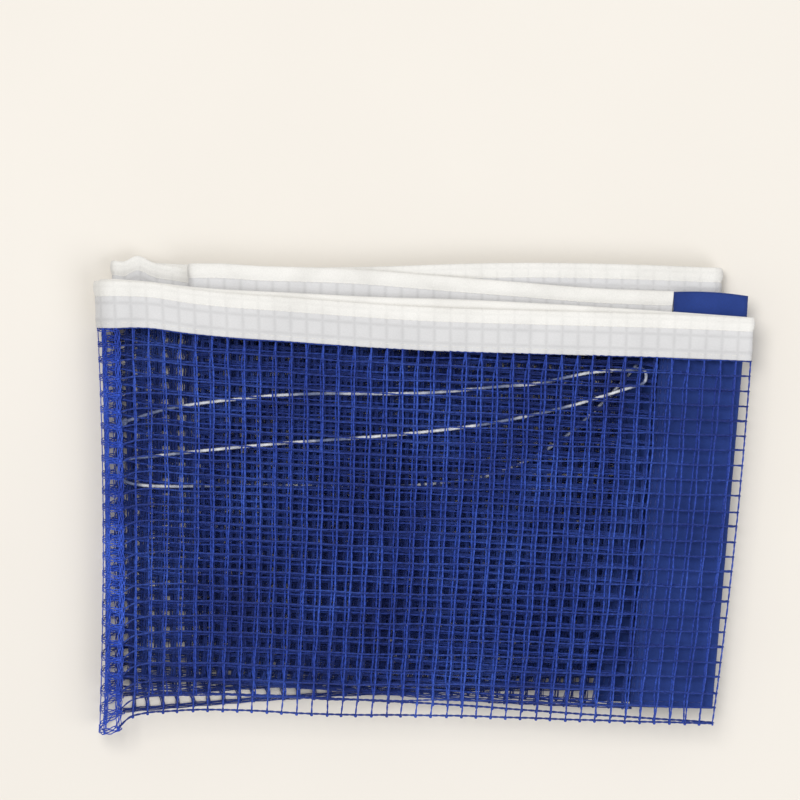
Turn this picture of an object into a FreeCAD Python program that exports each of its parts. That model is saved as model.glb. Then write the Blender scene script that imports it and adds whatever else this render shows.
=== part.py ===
"""Table tennis net, folded flat into eight layers, in millimetres.

The net is one long strip: a square-mesh net under a white tape whose channel holds a tension cord,
with a cloth sleeve on each end. Folded in half three times it makes eight layers, numbered from the
top, 1, to the bottom, 8. Layers 1 and 2 are the cover, which opens like a page about the left edge.
Along the strip the layers follow each other as 3, 4, 8, 1, 2, 7, 6, 5, so end A lies in layer 3
and end B in layer 5, both at the right.

+X runs along the strip, +Y towards the tape and +Z up. The net lies on its bottom layer at Z = 0,
and the origin is the middle of its box there.
"""
import FreeCAD, Part
import math
import os

# Thicknesses and heights
PLY = 1.7                   # one layer of net, knots included, and of the tape's channel
FLANGE = 0.7                # the tape's two sewn cloths, below the channel
SLEEVE_WALL = 0.3
SEAM_WIDTH = 1.6
CORD_D = 1.2
CHANNEL_BORE = 1.3
THREAD_D = 0.3
KNOT_D = 3.2

# Across the tape, from its top edge down
TAPE_WIDTH = 16.3
CHANNEL_DOWN = 2.5          # the cord's line
CHANNEL_SEAM_DOWN = 5.2     # the thread under the channel
HEM_SEAM_UP = 1.6           # the thread above the hem's lower edge

# Clear heights under layers, from the bottom one up. The cord's tail lies in the two wide ones.
CLOSE = 0.15
GAPS = {7: CLOSE, 6: CLOSE, 5: CLOSE, 4: 1.4, 3: CLOSE, 2: 1.6, 1: CLOSE}
COVER_CLEAR = 0.4           # between the cover's layers and the two bends that it turns on

# Folds: upper layer, lower layer: side, and the outside of the bend at its top and bottom end
FOLDS = {
    (1, 8): ("left", (-120.3, 77.4), (-118.4, -85.0)),
    (2, 7): ("left", (-118.1, 78.6), (-116.1, -72.5)),
    (5, 6): ("left", (-113.5, 86.1), (-111.5, -66.5)),
    (3, 4): ("left", (-85.7, 84.2), (-84.0, -67.5)),
    (1, 2): ("right", (120.1, 64.5), (105.2, -82.6)),
    (4, 8): ("right", (108.9, 82.6), (103.0, -70.5)),
    (6, 7): ("right", (105.8, 81.5), (99.5, -70.0)),
}
# Free ends: the tape's end, and the net's end below it, where the sleeve is sewn on
TAPE_ENDS = {3: ((91.5, 74.5), (90.5, 58.0)), 5: ((79.0, 76.5), (78.0, 60.0))}
NET_ENDS = {3: ((86.2, 58.1), (74.5, -77.0)), 5: ((73.7, 60.1), (62.0, -75.2))}
# The cover's lower left corner hangs down from here
DROOP = [(-90.8, -78.1), (-103.5, -80.0)]

COVER = (1, 2)
TURNED_FOLDS = [(1, 8), (2, 7)]     # join the cover to the stack, and bend as it opens

# End sleeves, as outlines on layer 3. Sleeve B is the same, moved.
SLEEVE_SIDES = [(116.1, 48.7), (104.9, -77.7), (74.7, -77.0), (86.4, 57.0)]
TAB = [(91.7, 57.0), (91.7, 74.3), (117.4, 72.9)]      # reaches up beside the tape, on one wall
SHORT_TOP = [(116.5, 56.0)]
SLEEVE_B_SHIFT = (-12.5, 1.8)

# The cord's tail at end B. It leaves the tape's channel there, runs left between layers 4 and 5,
# comes up past the fold of layers 3 and 4, and lies on layer 3 in a hairpin that ends in a knot.
TAIL_B = [
    (79.0, 74.0, 6.4), (85.5, 73.2, 6.8), (89.1, 67.6, 7.6), (87.5, 60.5, 7.95),
    (81.9, 52.6, 7.95), (69.0, 37.0, 7.95), (50.0, 19.0, 7.95), (28.0, 7.4, 7.95),
    (2.4, 3.5, 7.95), (-26.0, 3.0, 7.95), (-56.0, 3.6, 7.95), (-86.0, 3.0, 7.95),
    (-101.5, 3.2, 7.95), (-109.6, 4.6, 8.5), (-112.2, 9.4, 9.4), (-108.8, 13.2, 10.4),
    (-100.5, 13.9, 11.6), (-91.0, 15.0, 12.8), (-84.0, 15.8, 12.9), (-54.0, 18.8, 12.85),
    (-12.0, 21.6, 12.85), (22.0, 25.4, 12.85), (50.0, 31.4, 12.85), (66.0, 36.2, 12.85),
    (75.2, 39.3, 12.85), (80.9, 40.6, 12.85), (80.6, 46.2, 12.85), (75.0, 45.6, 12.85),
    (61.0, 44.9, 12.85), (50.0, 42.4, 12.85), (40.0, 40.2, 12.85), (28.0, 39.6, 12.85),
    (-2.0, 36.6, 12.85), (-44.5, 37.2, 12.85), (-74.0, 34.4, 12.85), (-88.5, 32.4, 13.1),
    (-98.5, 30.2, 11.0), (-108.0, 27.0, 9.25),
]
KNOT_PAST_END = 1.57        # from the end of the tail to the middle of its knot

PARTS = {}


def vec(point, z=0.0):
    """A vector from a 2-D point and a height, or from a 3-D point."""
    if len(point) == 3:
        return FreeCAD.Vector(*point)
    return FreeCAD.Vector(point[0], point[1], z)


def layer_bases():
    """The underside of each layer."""
    bases = {8: 0.0}
    for layer in range(7, 0, -1):
        bases[layer] = bases[layer + 1] + PLY + GAPS[layer]
    return bases


BASE = layer_bases()


def along(top, bottom, distance):
    """The 2-D point at a distance below the top end of a side."""
    length = math.dist(top, bottom)
    return tuple(a + (b - a) * distance / length for a, b in zip(top, bottom))


def slab(outline, z_low, thickness):
    """A flat plate from a closed 2-D outline."""
    corners = [vec(point, z_low) for point in outline]
    wire = Part.makePolygon(corners + corners[:1])
    return Part.Face(wire).extrude(FreeCAD.Vector(0, 0, thickness))


def rod(start, end, diameter):
    """A straight round bar between two points."""
    direction = end - start
    return Part.makeCylinder(diameter / 2, direction.Length, start, direction)


def bend_radius(fold):
    """The radius of a fold's middle surface."""
    upper, lower = fold
    return (BASE[upper] - BASE[lower]) / 2


def side_of(layer, side):
    """The top and bottom end of a layer's left or right side, where its flat part ends."""
    for fold, (fold_side, top, bottom) in FOLDS.items():
        if layer in fold and fold_side == side:
            inset = bend_radius(fold) + PLY / 2
            if side == "right":
                inset = -inset
            if layer in COVER and side == "left":
                inset += COVER_CLEAR
            return (top[0] + inset, top[1]), (bottom[0] + inset, bottom[1])
    return TAPE_ENDS[layer]


def centre_z(layer):
    return BASE[layer] + PLY / 2


def net_panel(layer):
    """The mesh of one layer, below the tape."""
    left_top, left_bottom = side_of(layer, "left")
    right_top, right_bottom = side_of(layer, "right")
    upper_right = along(right_top, right_bottom, TAPE_WIDTH)
    if layer in NET_ENDS:
        upper_right, right_bottom = NET_ENDS[layer]
    outline = [along(left_top, left_bottom, TAPE_WIDTH), upper_right, right_bottom]
    if layer == 1:
        outline += DROOP
    return slab(outline + [left_bottom], BASE[layer], PLY)


def across_tape(layer, down):
    """The left and right end of a line a given distance below the tape's top edge."""
    z = centre_z(layer)
    ends = [side_of(layer, side) for side in ("left", "right")]
    return [vec(along(top, bottom, down), z) for top, bottom in ends]


def tape_panel(layer):
    """The tape of one layer: two sewn cloths with the round channel along the top."""
    left_top, left_bottom = side_of(layer, "left")
    right_top, right_bottom = side_of(layer, "right")
    outline = [
        left_top,
        right_top,
        along(right_top, right_bottom, TAPE_WIDTH),
        along(left_top, left_bottom, TAPE_WIDTH),
    ]
    cloth = slab(outline, centre_z(layer) - FLANGE / 2, FLANGE)
    start, end = across_tape(layer, CHANNEL_DOWN)
    past = (end - start).normalize()
    channel = rod(start - past, end + past, PLY).common(slab(outline, BASE[layer] - PLY, 3 * PLY))
    return cloth.fuse(channel).cut(rod(start - past, end + past, CHANNEL_BORE))


def half_ring(fold, thickness, from_top, to_bottom):
    """The bend of a fold: half a ring, swept down the fold's line between two distances."""
    side, top, bottom = FOLDS[fold]
    sign = -1 if side == "left" else 1
    middle = bend_radius(fold)
    centre_x = -sign * (middle + PLY / 2)
    z = (centre_z(fold[0]) + centre_z(fold[1])) / 2
    start = along(top, bottom, from_top)
    end = along(top, bottom, to_bottom)
    x, y = start[0] + centre_x, start[1]
    edges = []
    for radius in (middle + thickness / 2, middle - thickness / 2):
        upper = FreeCAD.Vector(x, y, z + radius)
        outer = FreeCAD.Vector(x + sign * radius, y, z)
        lower = FreeCAD.Vector(x, y, z - radius)
        edges.append((upper, lower, Part.Arc(upper, outer, lower).toShape()))
    caps = [Part.makeLine(edges[0][i], edges[1][i]) for i in (0, 1)]
    wire = Part.Wire(Part.__sortEdges__([edges[0][2], edges[1][2]] + caps))
    return Part.Face(wire).extrude(FreeCAD.Vector(end[0] - start[0], end[1] - start[1], 0))


def half_torus(fold, diameter):
    """A round bar of the channel or cord, bent round a fold."""
    side, top, bottom = FOLDS[fold]
    sign = -1 if side == "left" else 1
    radius = bend_radius(fold)
    start = along(top, bottom, CHANNEL_DOWN)
    x = start[0] - sign * (radius + PLY / 2)
    z = (centre_z(fold[0]) + centre_z(fold[1])) / 2
    at = FreeCAD.Vector(x, start[1], z + radius)
    circle = Part.makeCircle(diameter / 2, at, FreeCAD.Vector(1, 0, 0))
    disc = Part.Face(Part.Wire(circle))
    return disc.revolve(FreeCAD.Vector(x, start[1], z), FreeCAD.Vector(0, sign, 0), 180)


def fold_length(fold):
    side, top, bottom = FOLDS[fold]
    return math.dist(top, bottom)


def net_bend(fold):
    return half_ring(fold, PLY, TAPE_WIDTH, fold_length(fold))


def tape_bend(fold):
    cloth = half_ring(fold, FLANGE, CHANNEL_DOWN, TAPE_WIDTH)
    return cloth.fuse(half_torus(fold, PLY)).cut(half_torus(fold, CHANNEL_BORE))


def channel_cord(layer):
    start, end = across_tape(layer, CHANNEL_DOWN)
    return rod(start, end, CORD_D)


def tape_threads(layer):
    """The two rows of sewing on a layer's tape, on its upper face."""
    rows = []
    for down in (CHANNEL_SEAM_DOWN, TAPE_WIDTH - HEM_SEAM_UP):
        start, end = across_tape(layer, down)
        lift = FreeCAD.Vector(0, 0, (FLANGE + THREAD_D) / 2)
        rows.append(rod(start + lift, end + lift, THREAD_D))
    return rows


def shifted(outline, shift):
    return [(x + shift[0], y + shift[1]) for x, y in outline]


def sleeve(name, layer, shift, tab_on_top):
    """A pocket of two cloth walls with a sewn inner edge. One wall has a tab beside the tape."""
    tall = shifted(SLEEVE_SIDES + TAB, shift)
    short = shifted(SLEEVE_SIDES + SHORT_TOP, shift)
    upper, lower = (tall, short) if tab_on_top else (short, tall)
    PARTS[f"sleeve_{name}_upper_wall"] = slab(upper, BASE[layer] + PLY - SLEEVE_WALL, SLEEVE_WALL)
    PARTS[f"sleeve_{name}_lower_wall"] = slab(lower, BASE[layer], SLEEVE_WALL)
    bottom, top = shifted(SLEEVE_SIDES[2:4], shift)
    seam = [top, (top[0] + SEAM_WIDTH, top[1]), (bottom[0] + SEAM_WIDTH, bottom[1]), bottom]
    height = PLY - 2 * SLEEVE_WALL
    PARTS[f"sleeve_{name}_seam"] = slab(seam, BASE[layer] + SLEEVE_WALL, height)


def tube(name, points, diameter):
    """A cord along straight runs joined by tangent arcs, each as large as its two runs allow."""
    points = [vec(point) for point in points]
    edges = []
    radii = []
    last = points[0]
    for before, corner, after in zip(points, points[1:], points[2:]):
        arrive = (corner - before).normalize()
        leave = (after - corner).normalize()
        turn = arrive.getAngle(leave)
        tangent = 0.45 * min(corner.distanceToPoint(before), corner.distanceToPoint(after))
        radii.append(tangent / math.tan(turn / 2))
        first = corner - arrive * tangent
        second = corner + leave * tangent
        to_centre = (leave - arrive).normalize() * (radii[-1] / math.cos(turn / 2))
        middle = corner + to_centre - to_centre.normalize() * radii[-1]
        edges.append(Part.makeLine(last, first))
        edges.append(Part.Arc(first, middle, second).toShape())
        last = second
    edges.append(Part.makeLine(last, points[-1]))
    path = Part.Wire(edges)
    section = Part.makeCircle(diameter / 2, points[0], points[1] - points[0])
    solid = path.makePipeShell([Part.Wire(section)], True, True)
    expected = path.Length * math.pi * diameter ** 2 / 4
    print(f"{name}: length {path.Length:.1f}, tightest radius {min(radii):.1f},"
          f" volume over section times length {solid.Volume / expected:.4f}")
    return solid


def knot():
    """A tight overhand knot at the end of the tail."""
    before, end = vec(TAIL_B[-2]), vec(TAIL_B[-1])
    middle = end + (end - before).normalize() * KNOT_PAST_END
    return Part.makeSphere(KNOT_D / 2, middle)


def group(shapes):
    return Part.makeCompound(shapes)


def build():
    for layer in range(1, 9):
        PARTS[f"net_layer_{layer}"] = net_panel(layer)
        PARTS[f"tape_layer_{layer}"] = tape_panel(layer)
    for fold in FOLDS:
        PARTS["net_bend_%d_%d" % fold] = net_bend(fold)
        PARTS["tape_bend_%d_%d" % fold] = tape_bend(fold)
    stack_folds = [fold for fold in FOLDS if fold not in TURNED_FOLDS and fold != COVER]
    stack_layers = [layer for layer in BASE if layer not in COVER]
    cover_cord = [channel_cord(layer) for layer in COVER] + [half_torus(COVER, CORD_D)]
    stack_cord = [channel_cord(layer) for layer in stack_layers]
    stack_cord += [half_torus(fold, CORD_D) for fold in stack_folds]
    PARTS["channel_cord_cover"] = group(cover_cord)
    PARTS["channel_cord_stack"] = group(stack_cord)
    PARTS["channel_cord_turn"] = group([half_torus(fold, CORD_D) for fold in TURNED_FOLDS])
    PARTS["tape_threads_cover"] = group(sum([tape_threads(layer) for layer in COVER], []))
    PARTS["tape_threads_stack"] = group(sum([tape_threads(layer) for layer in stack_layers], []))
    sleeve("a", 3, (0.0, 0.0), True)
    sleeve("b", 5, SLEEVE_B_SHIFT, False)
    PARTS["cord_tail_b"] = tube("cord_tail_b", TAIL_B, CORD_D)
    PARTS["cord_knot"] = knot()


def main():
    build()
    tails = ("cord_tail_b", "cord_knot")
    net = group([shape for name, shape in PARTS.items() if name not in tails])
    box = net.optimalBoundingBox(False)
    shift = FreeCAD.Vector(-box.Center.x, -box.Center.y, -box.ZMin)
    print(f"box {box.XLength:.3f} x {box.YLength:.3f} x {box.ZLength:.3f}, moved by {tuple(shift)}")
    os.makedirs("parts", exist_ok=True)
    for name, shape in PARTS.items():
        shape.translate(shift)
        shape.exportStep(f"parts/{name}.step")
    print(len(PARTS), "parts")


main()
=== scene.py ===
"""A table tennis net folded flat into eight layers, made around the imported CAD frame.

The net, the tape and the cord in its channel follow one long strip. strip_point() turns a place on
the flat strip into a place in the folded pack, and every strand, cloth and stitch goes through it.
Lengths are millimetres until a mesh is made. Layers are numbered from the top, 1, to the bottom, 8.
"""
import math
import bpy
import numpy as np
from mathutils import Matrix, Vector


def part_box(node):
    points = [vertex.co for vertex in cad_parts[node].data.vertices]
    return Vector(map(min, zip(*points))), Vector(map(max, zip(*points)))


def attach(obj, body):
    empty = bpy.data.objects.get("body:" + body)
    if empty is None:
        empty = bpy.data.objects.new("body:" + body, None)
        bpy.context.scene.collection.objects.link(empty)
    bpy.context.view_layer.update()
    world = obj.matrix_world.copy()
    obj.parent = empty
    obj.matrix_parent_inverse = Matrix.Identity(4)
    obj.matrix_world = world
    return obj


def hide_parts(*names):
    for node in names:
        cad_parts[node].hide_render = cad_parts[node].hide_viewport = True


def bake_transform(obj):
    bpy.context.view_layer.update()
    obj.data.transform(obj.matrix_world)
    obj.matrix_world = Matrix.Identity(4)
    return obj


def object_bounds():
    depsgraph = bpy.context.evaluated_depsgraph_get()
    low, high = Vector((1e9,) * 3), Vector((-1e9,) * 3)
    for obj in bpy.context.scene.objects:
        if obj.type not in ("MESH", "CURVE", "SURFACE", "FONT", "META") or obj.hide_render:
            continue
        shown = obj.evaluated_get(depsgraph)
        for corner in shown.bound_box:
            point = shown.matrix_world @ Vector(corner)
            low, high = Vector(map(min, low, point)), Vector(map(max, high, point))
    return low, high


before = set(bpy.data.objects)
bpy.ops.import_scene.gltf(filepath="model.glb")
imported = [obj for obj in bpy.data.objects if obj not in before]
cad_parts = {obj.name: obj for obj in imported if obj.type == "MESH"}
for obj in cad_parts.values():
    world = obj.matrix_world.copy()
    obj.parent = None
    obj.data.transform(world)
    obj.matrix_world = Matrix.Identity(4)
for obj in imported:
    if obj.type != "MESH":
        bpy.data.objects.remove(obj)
CAD_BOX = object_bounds()

MM = 0.001
RNG = np.random.default_rng(7)

# ---------------------------------------------------------------- sizes

NET_HEIGHT = 152.5          # tape included
ROWS = 24                   # cells below the tape
PITCH = 5.6                 # cell size along the strip
TAPE_WIDTH = 16.3
CHANNEL_DOWN = 2.5
CHANNEL_SEAM_DOWN = 5.3
HEM_SEAM_DOWN = 14.6
CORD_D = 1.2
PLY_R = 0.215               # one ply of the cover's twisted yarn
PLY_OFFSET = 0.145
STRANDS = 4                 # in the flat loose yarn of the other layers and of the turned folds
STRAND_R = 0.17
STRAND_WANDER = 0.22
# Half the width of the loose yarn in each layer, and at the folds that the cover turns on
LOOSE_HALF = {3: 0.62, 4: 0.66, 5: 0.80, 6: 0.84, 7: 0.95, 8: 0.70}
LOOSE_HALF_TURNED = 1.00
CROSSING_LIFT = 0.14        # columns pass over rows by twice this
TAPE_V = TAPE_WIDTH / NET_HEIGHT

BOX_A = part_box("sleeve_a_upper_wall")
SLEEVE_A_TOP_RIGHT = (117.4, 74.3)
PLY = 1.7
BASE = {k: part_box(f"net_layer_{k}")[0][2] / MM for k in range(1, 9)}
SHIFT = np.array([
    BOX_A[1][0] / MM - SLEEVE_A_TOP_RIGHT[0],
    BOX_A[1][1] / MM - SLEEVE_A_TOP_RIGHT[1],
    0.0,
])
LEVEL = {k: BASE[k] + PLY / 2 for k in BASE}

# Folds: upper layer, lower layer: side, x of the outside of the bend at its top and bottom end, and
# how far it bows to +X half way down
FOLDS = {
    (1, 8): (-1, -120.3, -118.6, 2.0),
    (2, 7): (-1, -118.3, -116.4, 0.8),
    (5, 6): (-1, -114.2, -112.0, 0.6),
    (3, 4): (-1, -85.9, -84.2, 0.5),
    (1, 2): (1, 120.1, 105.2, 1.5),
    (4, 8): (1, 108.9, 103.0, 0.8),
    (6, 7): (1, 105.8, 99.5, 0.8),
}
ENDS = {3: (88.6, 74.5), 5: (76.1, 62.0)}       # x of the net's end at its top and bottom
TAPE_PAST_END = 2.2         # how far the tape and the net's rows run on past the net's ends
ROWS_PAST_END = 1.2
FOLD_MARGIN = 0.45          # from a strand's middle line to the outside of a bend

# Each layer's top edge and bottom edge, from left to right
TOP = {
    1: [(-111, 77.9), (-100, 77.3), (-85, 75.0), (-45, 71.6), (-1, 68.5), (45, 67.0),
        (91, 65.7), (119, 64.5)],
    2: [(-110, 78.4), (-100, 77.6), (-87, 76.0), (-45, 73.4), (-14, 71.9), (11, 71.2),
        (35, 70.1), (91, 66.6), (119, 64.6)],
    3: [(-84, 84.3), (-74, 84.3), (-60, 83.4), (-45, 83.0), (-24, 82.2), (0, 80.3), (17, 78.9),
        (35, 77.5), (61, 75.4), (91.5, 74.2)],
    4: [(-84, 84.2), (-45, 82.9), (-14, 83.3), (12, 84.2), (35, 84.6), (75, 84.0), (104, 82.9)],
    5: [(-113, 85.6), (-110.5, 85.0), (-104.5, 87.3), (-98.7, 84.8), (-90, 83.3), (-86, 82.6),
        (-60, 81.6), (0, 79.2), (79, 76.5)],
    6: [(-113, 85.4), (-60, 83.0), (0, 82.0), (104.5, 81.4)],
    7: [(-110, 78.6), (-60, 79.4), (0, 80.6), (104.5, 81.4)],
    8: [(-111, 78.0), (-60, 78.6), (0, 79.6), (103, 82.6)],
}
BOTTOM = {
    1: [(-111, -84.4), (-107, -80.6), (-102, -79.0), (-91, -78.1), (-30, -79.5), (18, -80.0),
        (66, -81.6), (104, -82.6)],
    2: [(-109, -71.0), (-60, -72.5), (9, -76.0), (60, -79.6), (104, -82.4)],
    3: [(-83, -67.0), (-40, -70.0), (20, -74.6), (74.5, -77.0)],
    4: [(-83, -67.0), (0, -69.0), (98, -70.6)],
    5: [(-109, -66.0), (-40, -70.0), (0, -72.0), (62.0, -75.2)],
    6: [(-109, -66.0), (-40, -67.4), (30, -69.4), (98, -70.2)],
    7: [(-109, -71.0), (-40, -69.4), (30, -69.6), (98, -70.2)],
    8: [(-109, -79.0), (-60, -75.0), (0, -72.0), (98, -70.6)],
}
CORNER_DROOP = 3.4          # how far the outer bend's lower end hangs below its layers
LAYER_WAVE = 0.12           # how far a layer's middle waves up and down

# The strip, from end A to end B: layers, and the folds between them
STRIP = [3, (3, 4), 4, (4, 8), 8, (1, 8), 1, (1, 2), 2, (2, 7), 7, (6, 7), 6, (5, 6), 5]
COVER = [1, 2, (1, 2)]
TURNED = [(1, 8), (2, 7)]
# Which segments are made together, counted along the strip: the net's pieces, and the tape's runs
NET_GROUPS = [(0, 1), (2, 3), (4, 4), (5, 5), (6, 7), (8, 8), (9, 9), (10, 11), (12, 13), (14, 14)]
TAPE_GROUPS = [(0, 4), (5, 5), (6, 8), (9, 9), (10, 14)]

STACK_BODY = "folded_stack"
COVER_BODY = "cover"


def node_name(part, segment):
    if isinstance(segment, tuple):
        return "%s_bend_%d_%d" % (part, *segment)
    return f"{part}_layer_{segment}"


# ---------------------------------------------------------------- the folded strip


def unit(vectors):
    """The vectors, each made one long."""
    return vectors / np.linalg.norm(vectors, axis=-1, keepdims=True)


def smooth_curve(points, x):
    """A smooth line through a few points, with y as a function of x, straight beyond its ends."""
    px, py = np.array(points, float).T
    slope = np.gradient(py, px)
    i = np.clip(np.searchsorted(px, x) - 1, 0, len(px) - 2)
    width = px[i + 1] - px[i]
    q = np.clip((x - px[i]) / width, 0, 1)
    h00 = 2 * q**3 - 3 * q**2 + 1
    h10 = q**3 - 2 * q**2 + q
    h01 = 3 * q**2 - 2 * q**3
    h11 = q**3 - q**2
    inside = h00 * py[i] + h10 * width * slope[i] + h01 * py[i + 1] + h11 * width * slope[i + 1]
    beyond = (x - np.clip(x, px[0], px[-1])) * np.where(x < px[0], slope[0], slope[-1])
    return inside + beyond


def bend_radius(fold):
    return (LEVEL[fold[0]] - LEVEL[fold[1]]) / 2


def outer_x(fold, v):
    """x of the outside of a bend, at a share v of the way down."""
    _, top, bottom, bow = FOLDS[fold]
    return top + (bottom - top) * v + bow * 4 * v * (1 - v)


def flat_end_x(layer, side, v):
    """x where the flat part of a layer ends, on one side."""
    for fold in FOLDS:
        if layer in fold and FOLDS[fold][0] == side:
            return outer_x(fold, v) - side * (bend_radius(fold) + FOLD_MARGIN)
    top, bottom = ENDS[layer]
    return top + (bottom - top) * v


def layer_point(layer, u, v):
    """A point of a layer: u from its left end to its right, v from its top edge to its bottom."""
    left, right = flat_end_x(layer, -1, v), flat_end_x(layer, 1, v)
    x = left + (right - left) * u
    top_left, top_right = flat_end_x(layer, -1, 0.0), flat_end_x(layer, 1, 0.0)
    bottom_left, bottom_right = flat_end_x(layer, -1, 1.0), flat_end_x(layer, 1, 1.0)
    y_top = smooth_curve(TOP[layer], top_left + (top_right - top_left) * u)
    y_bottom = smooth_curve(BOTTOM[layer], bottom_left + (bottom_right - bottom_left) * u)
    y = y_top + (y_bottom - y_top) * v
    inner = 4 * np.clip(u, 0, 1) * (1 - np.clip(u, 0, 1))
    wave = np.sin(7.1 * u + 1.9 * layer) * np.sin(5.3 * v + 2.7 * layer)
    z = LEVEL[layer] + LAYER_WAVE * inner * wave
    return np.stack([x, y, z + 0 * x], axis=-1)


def bend_point(fold, turn, v):
    """A point of a bend: turn from 0 at the upper layer to 1 at the lower, v down its length."""
    side = FOLDS[fold][0]
    end = 0.0 if side < 0 else 1.0
    upper = layer_point(fold[0], end + 0 * turn, v)
    lower = layer_point(fold[1], end + 0 * turn, v)
    angle = np.pi * turn
    radius = (upper[..., 2] - lower[..., 2]) / 2
    middle = (upper[..., 2] + lower[..., 2]) / 2
    ease = turn * turn * (3 - 2 * turn)
    x = upper[..., 0] + side * radius * np.sin(angle)
    y = upper[..., 1] + (lower[..., 1] - upper[..., 1]) * ease
    if fold == (1, 8):
        y = y - CORNER_DROOP * np.sin(angle) ** 0.7 * np.clip(v * 5 - 4, 0, 1) ** 1.5
    z = middle + radius * np.cos(angle)
    return np.stack([x, y, z], axis=-1)


def segment_length(segment):
    if isinstance(segment, tuple):
        return math.pi * bend_radius(segment)
    return float(flat_end_x(segment, 1, 0.5) - flat_end_x(segment, -1, 0.5))


STARTS = np.concatenate([[0.0], np.cumsum([segment_length(s) for s in STRIP])])
STRIP_LENGTH = STARTS[-1]
MIDDLE_OF_COVER_FOLD = (STARTS[STRIP.index((1, 2))] + STARTS[STRIP.index((1, 2)) + 1]) / 2
MESH_U = MIDDLE_OF_COVER_FOLD % PITCH       # the first column's place along the strip


def runs_leftward(index):
    """Whether the strip runs towards -X in this layer."""
    return (index // 2) % 2 == 0


def segment_point(index, s, v):
    """A point of one segment of the strip, s along the whole strip."""
    segment = STRIP[index]
    share = (s - STARTS[index]) / (STARTS[index + 1] - STARTS[index])
    if not isinstance(segment, tuple):
        u = 1 - share if runs_leftward(index) else share
        return layer_point(segment, u, v)
    comes_from = STRIP[index - 1]
    turn = share if comes_from == segment[0] else 1 - share
    return bend_point(segment, turn, v)


def strip_point(s, v):
    """A point of the folded strip: s along the strip, v from the tape's top edge down."""
    s, v = np.broadcast_arrays(np.asarray(s, float), np.asarray(v, float))
    index = np.clip(np.searchsorted(STARTS, s, side="right") - 1, 0, len(STRIP) - 1)
    out = np.empty(s.shape + (3,))
    for i in np.unique(index):
        mask = index == i
        out[mask] = segment_point(i, s[mask], v[mask])
    return out


STEP = 0.05                 # over which a direction on the strip is measured


def strip_along(s, v):
    return strip_point(s + STEP, v) - strip_point(s - STEP, v)


def strip_normal(s, v):
    """The direction that the strip's front faces."""
    step_v = STEP / NET_HEIGHT
    dv = strip_point(s, v + step_v) - strip_point(s, v - step_v)
    return unit(np.cross(strip_along(s, v), dv))


def off_strip(s, v, lift):
    """A point a distance in front of the strip."""
    s, v, lift = np.broadcast_arrays(s, v, lift)
    return strip_point(s, v) + strip_normal(s, v) * lift[..., None]


# ---------------------------------------------------------------- mesh tools


class Build:
    """Collects vertices and faces for one mesh, with an optional UV place and material slot."""

    def __init__(self):
        self.points, self.uvs, self.faces, self.slots = [], [], [], []
        self.count = 0

    def add(self, points, faces, uv=None, slot=0):
        points = np.asarray(points, float).reshape(-1, 3)
        self.points.append(points)
        self.uvs.append(np.zeros((len(points), 2)) if uv is None else np.reshape(uv, (-1, 2)))
        for block in faces:
            self.faces.append(np.asarray(block, np.int64) + self.count)
            self.slots.append(np.broadcast_to(slot, len(block)))
        self.count += len(points)

    def make(self, name, materials):
        points = (np.concatenate(self.points) + SHIFT) * MM
        points[:, 2] = np.maximum(points[:, 2], 0.0)      # what rests on the surface is flattened
        uvs = np.concatenate(self.uvs)
        loops = np.concatenate([block.ravel() for block in self.faces])
        sizes = np.concatenate([np.full(len(block), block.shape[1]) for block in self.faces])
        mesh = bpy.data.meshes.new(name)
        mesh.vertices.add(len(points))
        mesh.vertices.foreach_set("co", points.ravel())
        mesh.loops.add(len(loops))
        mesh.loops.foreach_set("vertex_index", loops.astype(np.int32))
        mesh.polygons.add(len(sizes))
        starts = np.concatenate([[0], np.cumsum(sizes)[:-1]])
        mesh.polygons.foreach_set("loop_start", starts.astype(np.int32))
        mesh.polygons.foreach_set("material_index", np.concatenate(self.slots).astype(np.int32))
        mesh.polygons.foreach_set("use_smooth", np.ones(len(sizes), bool))
        layer = mesh.uv_layers.new(name="UVMap")
        layer.data.foreach_set("uv", uvs[loops].ravel())
        mesh.update(calc_edges=True)
        mesh.validate()
        for material in materials:
            mesh.materials.append(material)
        return show(name, mesh)


def show(name, data):
    """A new object in the scene."""
    made = bpy.data.objects.new(name, data)
    bpy.context.scene.collection.objects.link(made)
    return made


def grid_faces(rows, columns, closed=False):
    """Quads of a grid of rows by columns points, its columns joined up if it is closed."""
    last = columns if closed else columns - 1
    i = np.arange(rows - 1)[:, None] * columns
    j = np.arange(last)[None, :]
    k = (j + 1) % columns
    return np.stack([i + j, i + k, i + columns + k, i + columns + j], axis=-1).reshape(-1, 4)


def ring_angles(sides):
    return np.arange(sides) * 2 * np.pi / sides


def line_frames(lines, normals):
    """Unit directions along each of many lines, and across it in the cloth."""
    tangents = unit(np.gradient(lines, axis=-2))
    return tangents, unit(np.cross(tangents, normals))


def add_tubes(build, lines, normals, radius, sides):
    """Round bars along many lines at once: lines is (lines, points, 3), radius one per point."""
    count, length = lines.shape[:2]
    tangents, across = line_frames(lines, normals)
    up = np.cross(across, tangents)
    angle = ring_angles(sides)
    radius = np.broadcast_to(radius, (count, length))[..., None, None]
    ring = up[:, :, None] * np.cos(angle)[:, None] + across[:, :, None] * np.sin(angle)[:, None]
    points = lines[:, :, None] + ring * radius
    quads = grid_faces(length, sides, closed=True)
    offsets = np.arange(count)[:, None, None] * length * sides
    cap = np.arange(sides)[None, None, :]
    faces = [
        (quads[None] + offsets).reshape(-1, 4)[:, ::-1],
        (cap + offsets).reshape(-1, sides),
        (cap[..., ::-1] + offsets + (length - 1) * sides).reshape(-1, sides),
    ]
    uv = np.stack(np.meshgrid(np.arange(length), np.arange(sides), indexing="ij"), -1)
    build.add(points, faces, np.broadcast_to(uv, points.shape[:-1] + (2,)))


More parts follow.
